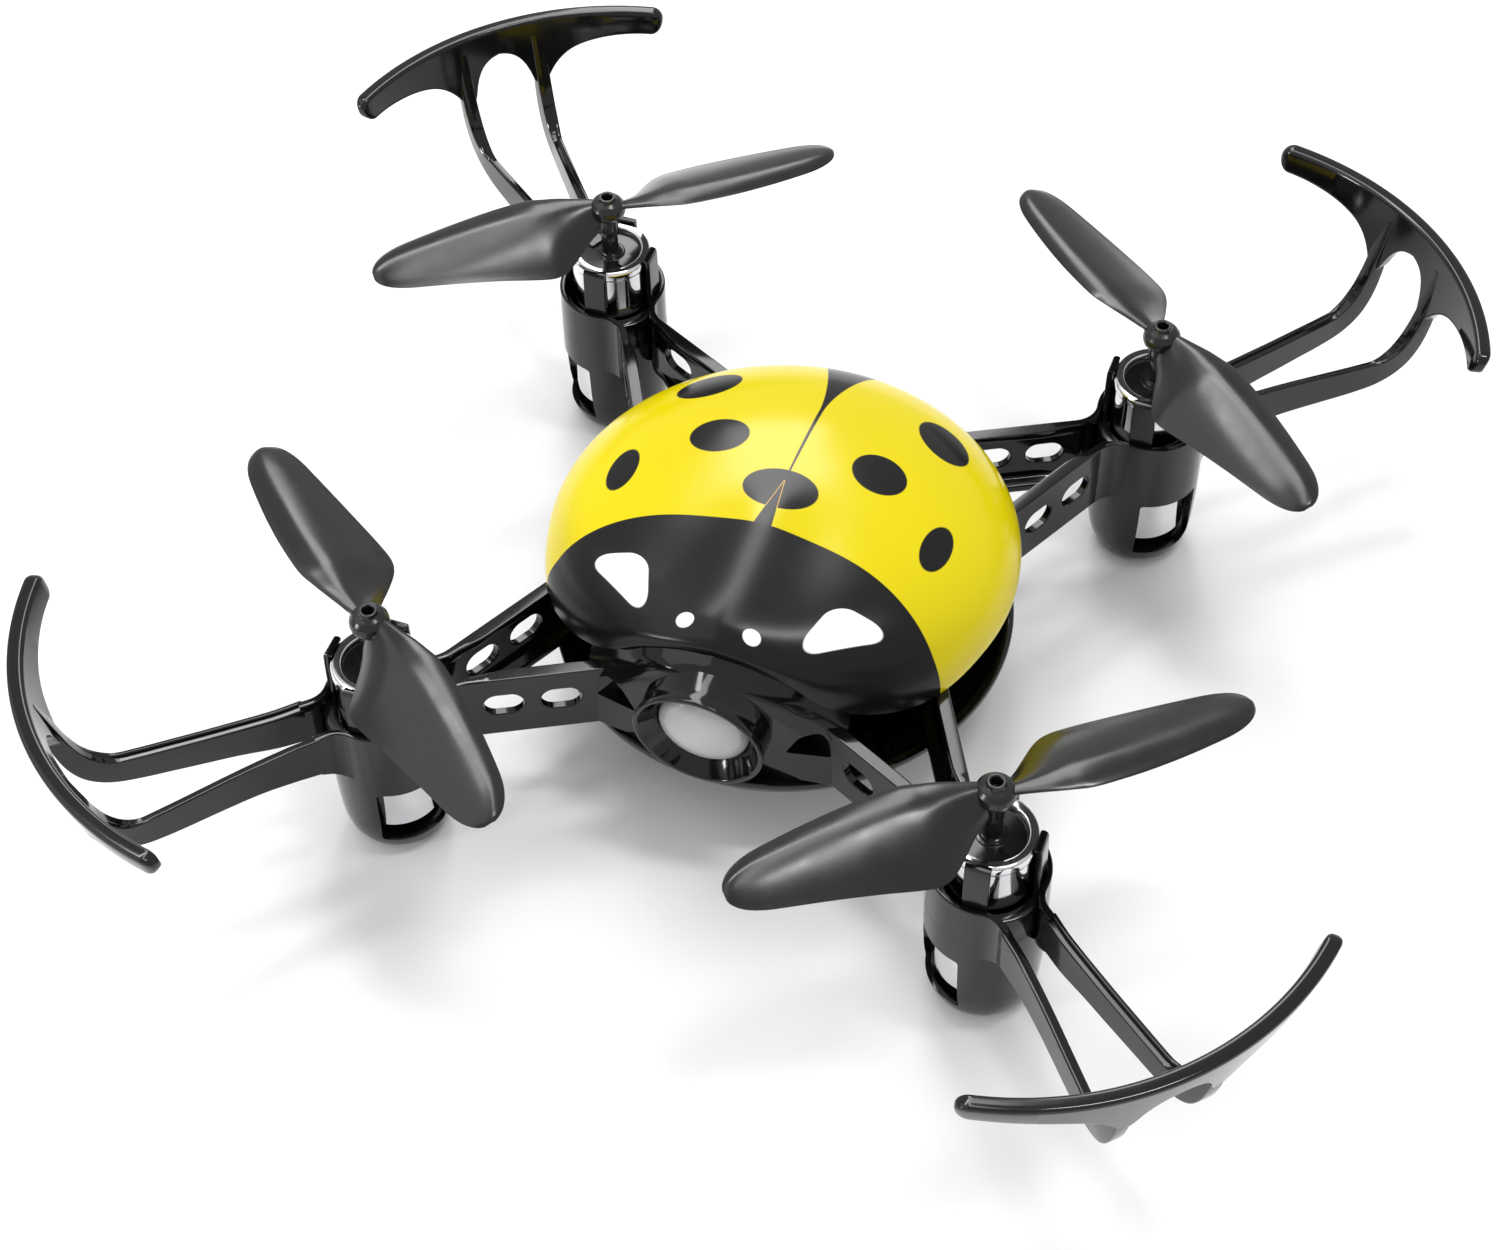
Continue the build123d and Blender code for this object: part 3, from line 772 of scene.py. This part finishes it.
def motor_can():
    """Plated can with a rolled top ring, wider where the pod's windows show it."""
    r, low, top = CAN_R, CAN_LOW, CAN_TOP
    return lathe("can_master", rounded([
        (0.9, low), (r, low), (r + 0.32, low + 0.3), (r + 0.32, 8.5), (r, 8.8), (r, top - 0.95),
        (r + 0.1, top - 0.8), (r + 0.1, top - 0.2), (r - 0.08, top), (2.82, top), (2.72, top - 0.15),
        (2.72, top - 1.4),
        (r - 0.4, top - 1.4), (r - 0.4, low + 0.5), (0.9, low + 0.5),
    ], 0.12))


def motor_endcap():
    """Black end cap with its bearing tube and two terminal tabs."""
    top = CAN_TOP
    cap = lathe("cap_master", rounded([
        (0.55, top - 1.4), (2.74, top - 1.4), (2.74, top - 0.55), (2.6, top - 0.48), (1.3, top - 0.48),
        (1.25, top - 0.42), (0.98, top - 0.4), (0.95, top - 0.25), (0.74, top - 0.2), (0.72, 22.2),
        (0.55, 22.3),
    ], 0.06), 64)
    tabs = []
    tab_outline = rounded([(1.5, -0.8), (2.65, -0.7), (2.65, 0.7), (1.5, 0.8)], 0.15)
    for turn in (20, 200):
        tab = prism("tab", tab_outline, (top - 0.7, top - 0.32, top - 0.28))
        tab.data.transform(Matrix.Rotation(math.radians(turn), 4, "Z"))
        tabs.append(tab)
    return joined("cap_master2", [cap] + tabs)


def build_motors():
    can = motor_can()
    cap = motor_endcap()
    for corner in CORNERS:
        piece = at_corner(can, "can_", corner)
        install(piece, "chrome", "airframe", ["motor_can_" + corner])
        piece = at_corner(cap, "endcap_", corner)
        install(piece, "cap", "airframe", ["motor_endcap_" + corner])
    bpy.data.objects.remove(can)
    bpy.data.objects.remove(cap)


# ------------------------------------------------------------------ propellers
BLADE_TABLE = [  # radius, leading edge, trailing edge, thickness, pitch in degrees
    (1.0, 1.05, -1.1, 1.1, 40.0),
    (2.4, 1.5, -2.0, 1.0, 33.0),
    (4.0, 2.05, -3.4, 0.88, 27.0),
    (5.3, 2.42, -4.4, 0.8, 23.0),
    (6.5, 2.72, -4.78, 0.74, 20.5),
    (8.2, 2.8, -4.62, 0.68, 18.5),
    (11.0, 2.74, -4.12, 0.62, 15.5),
    (14.0, 2.5, -3.6, 0.56, 13.0),
    (17.0, 2.12, -3.1, 0.5, 11.0),
    (18.8, 1.8, -2.78, 0.46, 10.0),
    (20.0, 1.36, -2.42, 0.42, 9.5),
    (20.8, 0.84, -2.0, 0.38, 9.0),
    (21.3, 0.25, -1.5, 0.32, 9.0),
    (21.5, -0.25, -1.05, 0.24, 9.0),
]


CREST = 0.3  # share of the chord at which a section is most arched


def arch(t):
    """Mean line of a blade section, from 0 at either edge to 1 at the crest."""
    if t < CREST:
        return (2 * CREST * t - t * t) / CREST ** 2
    return (1 - 2 * CREST + 2 * CREST * t - t * t) / (1 - CREST) ** 2


def blade_section(chord, thick):
    """Cambered section, folded over a ridge behind the leading edge."""
    count = 18
    top, bottom = [], []
    for k in range(count + 1):
        t = 0.5 * (1 - math.cos(math.pi * k / count))
        shape = 1.9 * (math.sqrt(t) * 0.62 - 0.2 * t - 0.42 * t * t) + 0.06 * (1 - t)
        camber = 0.10 * chord * arch(t)
        y = chord * (0.5 - t)
        half = thick * max(0.10, shape) * 0.62
        top.append((y, camber + half))
        bottom.append((y, camber - half * 0.7))
    return top + bottom[::-1][1:-1]


def blade(direction):
    stations = []
    for x, lead, trail, thick, pitch in spline_points(BLADE_TABLE, 4):
        c, n = math.cos(math.radians(pitch)), math.sin(math.radians(pitch))
        chord = max(0.3, lead - trail) / c
        middle = (lead + trail) / 2 / c
        ring = []
        for y, h in blade_section(chord, max(0.2, thick)):
            yy = y + middle
            ring.append((x, direction * (yy * c - h * n), HUB_TOP - 1.75 + yy * n + h * c))
        stations.append(ring)
    return sweep("blade", stations, 60)


def propeller(hand):
    """Hub with six ribs and two blades; hands 1 and -1 are mirror images."""
    top = HUB_TOP
    hub = lathe("hub", rounded([
        (0.52, 22.15), (0.8, 22.15), (0.8, 23.75), (1.2, 23.9), (1.52, 24.25), (1.6, 24.65), (1.52, 25.1),
        (1.2, 25.52), (0.78, 25.72), (0.72, top), (0.52, top), (0.44, top - 0.1), (0.42, top - 1.0),
        (0.0, top - 1.0), (0.0, top - 1.5), (0.52, top - 1.5),
    ], 0.08), 96)
    one = blade(hand)
    two = placed(copy_of(one, "blade_b"), Matrix.Rotation(math.pi, 4, "Z"))
    ribs = []
    rib_outline = rounded([(0.7, -0.14), (0.9, -0.12), (0.9, 0.12), (0.7, 0.14)], 0.05, 2)
    for k in range(6):
        rib = prism("rib", rib_outline, (22.3, 24.0))
        rib.data.transform(Matrix.Rotation(math.radians(60 * k), 4, "Z"))
        ribs.append(rib)
    return joined("prop_master", [hub, one, two] + ribs)


def build_propellers():
    for hand in (1, -1):
        master = propeller(hand)
        for corner in CORNERS:
            if SPIN[corner] != hand:
                continue
            axis = AXIS["rotor_" + corner]
            turn = Matrix.Rotation(math.radians(BLADE_LINE[corner]), 4, "Z")
            place = Matrix.Translation((axis.x, axis.y, 0)) @ turn
            piece = placed(copy_of(master, "prop_" + corner), place)
            install(piece, "prop", "rotor_" + corner, ["propeller_" + corner])
        bpy.data.objects.remove(master)


# ------------------------------------------------------------------ canopy
RIM_Z = 16.0
TOP_Z = 23.35
CANOPY_STEPS = 240
CANOPY_RINGS = 56
CANOPY_WALL = 0.9
LIP_R = 19.6  # plan radius of the sides and the back in LIP_TABLE
LIP_TABLE = [  # degrees from straight ahead, plan radius, height of the lower edge
    (0, 16.9, 21.5), (10, 17.05, 21.1), (20, 17.55, 19.9), (28, 18.3, 18.1), (36, 18.85, 16.9),
    (46, 19.35, 16.2), (57, LIP_R, 15.95), (75, LIP_R, 15.95), (180, LIP_R, 15.95),
]
FULLNESS = [(0, 5.8), (25, 5.3), (50, 4.3), (75, 3.1), (100, 2.55), (140, 2.15), (180, 2.05)]


def rim_at(angle):
    """Plan radius and edge height, angle in degrees from straight ahead."""
    a = abs(angle)
    radius = curve_value([(x, r) for x, r, z in LIP_TABLE], a)
    level = curve_value([(x, z) for x, r, z in LIP_TABLE], a)
    return radius * CANOPY_R / LIP_R, level


def canopy_height(x, y, share, angle, level):
    p = curve_value(FULLNESS, abs(angle))
    z = level + (TOP_Z - level) * math.sqrt(max(0.0, 1 - share ** p))
    ridge = 0.62 * math.exp(-(x / 3.4) ** 2) * smooth_step(3.0, -6.0, y) * smooth_step(-19.5, -15.0, y)
    return z + ridge


def canopy_ring(share, inset):
    ring = []
    for i in range(CANOPY_STEPS):
        angle = -180 + 360 * i / CANOPY_STEPS
        a = math.radians(angle)
        radius, level = rim_at(angle)
        brim = 0.32 * smooth_step(0.95, 1.0, share) * (1 - smooth_step(50, 75, abs(angle)))
        r = (radius - inset) * share + brim
        x, y = r * math.sin(a), -r * math.cos(a)
        z = canopy_height(x, y, share, angle, level) - inset * (1 - 0.75 * share ** 6)
        ring.append((x, y, z))
    return ring


def build_canopy():
    """Thin shell: outer rings from the top down, the rolled lip, then inner rings back up."""
    shares = [math.sin(math.pi / 2 * k / CANOPY_RINGS) for k in range(1, CANOPY_RINGS + 1)]
    rings = [canopy_ring(s, 0.0) for s in shares]
    low = [(x, y, z - 0.22) for x, y, z in rings[-1]]
    inner = [canopy_ring(s, CANOPY_WALL) for s in reversed(shares)]
    under = [(x, y, z - 0.12) for x, y, z in inner[0]]
    rings += [low, under] + inner
    verts = [p for ring in rings for p in ring]
    count = CANOPY_STEPS
    faces = ring_faces(len(rings), count, capped=False)
    crown = canopy_height(0, 0, 0, 180, RIM_Z)
    verts.append((0, 0, crown))
    verts.append((0, 0, crown - CANOPY_WALL))
    top, bottom = len(verts) - 2, len(verts) - 1
    last = (len(rings) - 1) * count
    for k in range(count):
        n = (k + 1) % count
        faces.append((k, top, n))
        faces.append((last + k, last + n, bottom))
    shell = make_piece("canopy_shell", verts, faces, 50)
    install(shell, "canopy", "airframe", ["canopy"])


# ------------------------------------------------------------------ frame core, front wall and tray
TRAY_SCREWS = [(-9.9, -8.4), (9.9, -8.4), (-9.4, 9.6), (9.4, 9.6)]
CANOPY_SCREWS = [(-10.2, 2.0), (10.2, 2.0)]
WALL_T = 1.0


def front_wall():
    """Leaning wall under the canopy's lip, holding the lamp barrel, with two side openings."""
    half = 10.9
    count = 60
    stations = []
    for i in range(count + 1):
        x = -half + 2 * half * i / count
        bow = 1.0 - (x / half) ** 2
        y_low = -17.15 - 0.8 * bow
        angle = math.degrees(math.atan2(abs(x), 16.4))
        radius, level = rim_at(angle)
        y_top = -math.sqrt(max(1.0, (radius - 0.75) ** 2 - x * x))
        z_top = level + 0.25
        bulge = math.exp(-(x / 7.6) ** 4)  # the middle stands forward round the lamp
        z_mid = RAIL_LOW + (0.68 + 0.20 * bulge) * (z_top - RAIL_LOW)
        y_mid = min(y_low + 0.1, y_top - 0.3) - 1.15 * bulge
        z_low = RAIL_LOW - 0.7 * smooth_step(0.45, 0.85, bow)
        outline = [(y_low, z_low), (y_mid, z_mid), (y_top, z_top), (y_top + WALL_T, z_top),
                   (y_mid + WALL_T, z_mid), (y_low + WALL_T, z_low)]
        outline = rounded(outline, [0.2, 2.0, 0.2, 0.2, 2.0, 0.2], 5)
        stations.append([(x, y, z) for y, z in outline])
    wall = sweep("front_wall", stations)
    hole = along_barrel(lathe("hole", [(0, -9), (5.0, -9), (5.0, 4), (0, 4)], 72))
    cut(wall, hole)
    for side in (-1, 1):
        outline = [(6.3, 12.7), (9.9, 12.7), (9.85, 14.3), (9.0, 15.5), (7.5, 15.1)]
        points = rounded([(side * x, z) for x, z in outline], [0.3, 0.3, 0.8, 0.9, 0.9], 4)
        rings = [[(x, y, z) for x, z in points] for y in (-20.0, -14.0)]
        cut(wall, sweep("opening", rings))
    return wall


def frame_core():
    ring = lathe("ring", rounded([(13.6, RAIL_LOW), (14.6, RAIL_LOW), (14.6, 12.2), (13.6, 12.2)], 0.2), 160)
    deck = lathe("deck", rounded([(11.3, RAIL_LOW), (14.0, RAIL_LOW), (14.0, 10.0), (11.3, 10.0)], 0.2), 160)
    parts = [ring, deck]
    posts = [(x, y, 6.4, 13.6, 1.6) for x, y in TRAY_SCREWS]
    posts += [(x, y, 10.0, 12.2, 2.0) for x, y in CANOPY_SCREWS]
    for x, y, low, high, radius in posts:
        post = lathe("post", rounded([(0.55, low), (radius, low), (radius, high), (0.55, high)], 0.15), 40)
        post.data.transform(Matrix.Translation((x * MM, y * MM, 0)))
        parts.append(post)
    return joined("frame_core", parts)


def build_frame():
    side = arm_side()
    other = mirrored(side, "arm_side_b")
    master = joined("arm_master", [side, other])
    for corner in CORNERS:
        piece = at_corner(master, "arm_", corner)
        install(piece, "frame", "airframe", ["main_frame"])
    bpy.data.objects.remove(master)
    install(front_wall(), "frame", "airframe", ["main_frame"])
    install(frame_core(), "frame", "airframe", ["main_frame"])


def build_tray():
    low, top, r = TRAY_LOW, TRAY_TOP, TRAY_R
    tray = lathe("tray", rounded([
        (0.0, low), (15.4, low), (17.2, low + 0.45), (18.7, low + 1.5), (r, low + 2.8), (r, top),
        (r - 0.8, top), (r - 1.0, top - 0.5), (17.7, low + 2.2), (16.5, low + 1.4), (15.0, low + 1.0),
        (0.0, low + 1.0),
    ], [0, 0.9, 0.9, 0.9, 0.6, 0.2, 0.2, 0.4, 0.8, 0.8, 0.8, 0]), 200)
    switch_low, switch_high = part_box("power_switch")
    y = (switch_low.y + switch_high.y) / 2 / MM
    slot = rounded([(-2.6, y - 0.9), (2.6, y - 0.9), (2.6, y + 0.9), (-2.6, y + 0.9)], 0.25)
    cut(tray, prism("slot", slot, (4.0, 8.0)))
    for x, yy in TRAY_SCREWS:
        well = lathe("well", [(0, 4), (1.4, 4), (1.3, low + 0.55), (0.75, low + 0.55), (0.75, 8), (0, 8)], 40)
        well.data.transform(Matrix.Translation((x * MM, yy * MM, 0)))
        cut(tray, well)
    install(tray, "frame", "airframe", ["bottom_tray"])


# ------------------------------------------------------------------ headlamp
BARREL_Y = -20.9
BARREL_Z = 14.9
BARREL_TILT = 4.5
LENS_R = 3.78
LENS_DOME = 1.75


def along_barrel(obj):
    """Turns a piece drawn along +Z to face the front of the drone, tipped down a little."""
    place = Matrix.Translation((0, BARREL_Y * MM, BARREL_Z * MM))
    obj.data.transform(place @ Matrix.Rotation(math.radians(90 + BARREL_TILT), 4, "X"))
    return obj


def build_headlamp():
    barrel = lathe("lamp_barrel", rounded([
        (5.5, -4.9), (5.45, -4.0), (5.36, -3.3), (5.3, -2.3), (5.28, -1.1), (5.42, -0.45), (5.43, -0.05),
        (5.1, 0.02), (4.85, -0.35), (4.4, -0.95), (3.86, -1.6), (3.8, -5.2), (3.0, -5.2), (3.0, -6.6),
        (5.0, -6.6),
    ], [0.1, 0.4, 0.8, 0.8, 0.5, 0.2, 0.17, 0.17, 0.5, 0.4, 0.2, 0.1, 0.1, 0.1, 0.1], 4), 160)
    install(along_barrel(barrel), "frame", "airframe", ["lens_barrel"])
    dome = [
        (LENS_R * math.sin(math.radians(a)), -LENS_DOME + LENS_DOME * math.cos(math.radians(a)))
        for a in range(0, 91, 6)
    ]
    lens = lathe("lamp_lens", dome + [(LENS_R, -5.2), (0.0, -5.2)], 128, 50)
    install(along_barrel(lens), "lens", "airframe", ["headlamp_lens"])


def finish_cad_nodes():
    """Procedural finishes for the CAD nodes that stay as they are."""
    looks = {
        "main_board": "board", "board_chips": "chip", "battery": "cell", "battery_socket": "connector",
        "battery_plug": "connector", "headlamp_led": "led", "power_switch": "switch",
        "switch_slider": "switch", "charge_socket": "steel", "tray_screws": "dark_steel",
        "canopy_screws": "dark_steel",
    }
    for corner in CORNERS:
        looks["motor_magnet_" + corner] = "steel"
        looks["motor_winding_" + corner] = "copper"
        looks["motor_shaft_" + corner] = "steel"
    for node, look in looks.items():
        paint(frame["nodes"][node], look)


# ------------------------------------------------------------------ stage
def build_stage():
    bpy.ops.mesh.primitive_plane_add(size=6.0, location=(0, 0, 0))
    floor = bpy.context.object
    floor.name = "floor"
    s = Shader("floor_white")
    socket(s.bsdf, "Base Color", (0.9, 0.9, 0.903, 1.0))
    socket(s.bsdf, "Roughness", 0.6)
    socket(s.bsdf, "Specular IOR Level", 0.2)
    floor.data.materials.append(s.material)


WORLD_STRENGTH = 0.665
LIGHTS = [  # name, position, target, width and height in metres, watts
    ("key", (-0.135, 0.385, 0.47), (0, 0, 0), (0.13, 0.42), 1.1),
    ("fill", (-0.45, -0.10, 0.60), (0, 0, 0), (0.60, 0.60), 0.95),
    ("overhead", (-0.04, 0.10, 0.60), (0, 0, 0), (0.09, 0.26), 0.4),
    ("band", (-0.25, 0.21, 0.60), (0, 0, 0), (0.24, 0.07), 0.7),
    ("side", (0.165, 0.02, 0.60), (0, 0, 0), (0.05, 0.16), 0.75),
    ("glint", (-0.40, -0.36, 0.16), (0, 0, 0.015), (0.07, 0.07), 0.7),
]


def area_light(name, position, target, size, power):
    data = bpy.data.lights.new(name, "AREA")
    data.shape = "RECTANGLE"
    data.size, data.size_y = size
    data.energy = power
    light = bpy.data.objects.new(name, data)
    light.location = position
    light.rotation_mode = "QUATERNION"
    light.rotation_quaternion = (Vector(target) - Vector(position)).to_track_quat("-Z", "Y")
    bpy.context.scene.collection.objects.link(light)


def build_lights():
    world = bpy.data.worlds.new("studio")
    world.use_nodes = True
    background = world.node_tree.nodes["Background"]
    background.inputs["Color"].default_value = (1.0, 1.0, 1.0, 1.0)
    background.inputs["Strength"].default_value = WORLD_STRENGTH
    bpy.context.scene.world = world
    for light in LIGHTS:
        area_light(*light)


def build_camera():
    """Three-quarter view from the front left of the drone, above it."""
    azimuth, elevation, roll = math.radians(19.348), math.radians(47.176), math.radians(-0.34)
    back = Vector((math.sin(azimuth) * math.cos(elevation), -math.cos(azimuth) * math.cos(elevation),
                   math.sin(elevation)))
    right = Vector((math.cos(azimuth), math.sin(azimuth), 0))
    up = back.cross(right)
    turned_right = right * math.cos(roll) + up * math.sin(roll)
    turned_up = up * math.cos(roll) - right * math.sin(roll)
    data = bpy.data.cameras.new("camera")
    data.lens = 68.71
    data.sensor_width = 36.0
    data.shift_x = -0.0203
    data.shift_y = -0.1002
    data.clip_start = 0.005
    data.clip_end = 20.0
    camera = bpy.data.objects.new("camera", data)
    basis = Matrix((turned_right, turned_up, back)).transposed().to_4x4()
    camera.matrix_world = Matrix.Translation((0.05165, -0.14784, 0.19341)) @ basis
    bpy.context.scene.collection.objects.link(camera)
    bpy.context.scene.camera = camera


build_camera()
build_frame()
build_guards()
build_cups()
build_motors()
build_propellers()
build_canopy()
build_tray()
build_headlamp()
finish_cad_nodes()
build_stage()
build_lights()
bpy.context.scene.view_settings.view_transform = "Standard"
